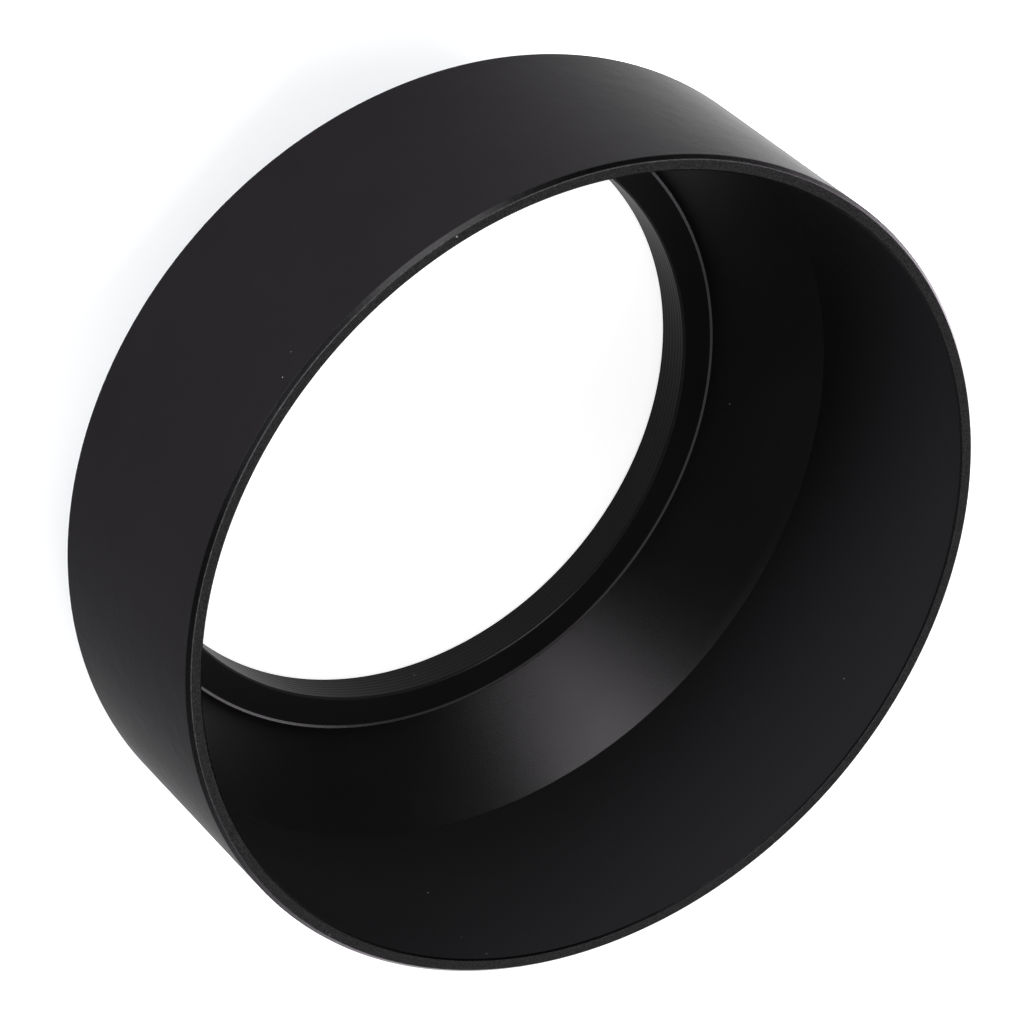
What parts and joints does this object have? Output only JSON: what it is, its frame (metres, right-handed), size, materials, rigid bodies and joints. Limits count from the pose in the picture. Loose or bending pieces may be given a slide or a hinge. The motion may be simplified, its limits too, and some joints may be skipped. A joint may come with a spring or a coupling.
{
  "type": "lens hood",
  "caption": "Round black metal screw-in lens hood: straight shade tube, thin cone behind it and a threaded mount ring with a ridged bore.",
  "frame": {"origin": "centre of the rear end of the threaded neck, which is also the lowest face of the hood", "axes": "+Z along the optical axis, out of the front opening; X and Y are any two directions across it, because every piece is round"},
  "size_m": [0.078, 0.078, 0.0354],
  "materials": {
    "tube_finish": "black anodised, satin, fine turned grain, worn grey at the front edge",
    "cone_finish": "black anodised, satin, smooth sheet",
    "ring_finish": "black anodised, satin, fine turned rings"
  },
  "bodies": {
    "root": {"shade_tube": "tube_finish", "rear_cone": "cone_finish", "mount_ring": "ring_finish"}
  },
  "joints": []
}
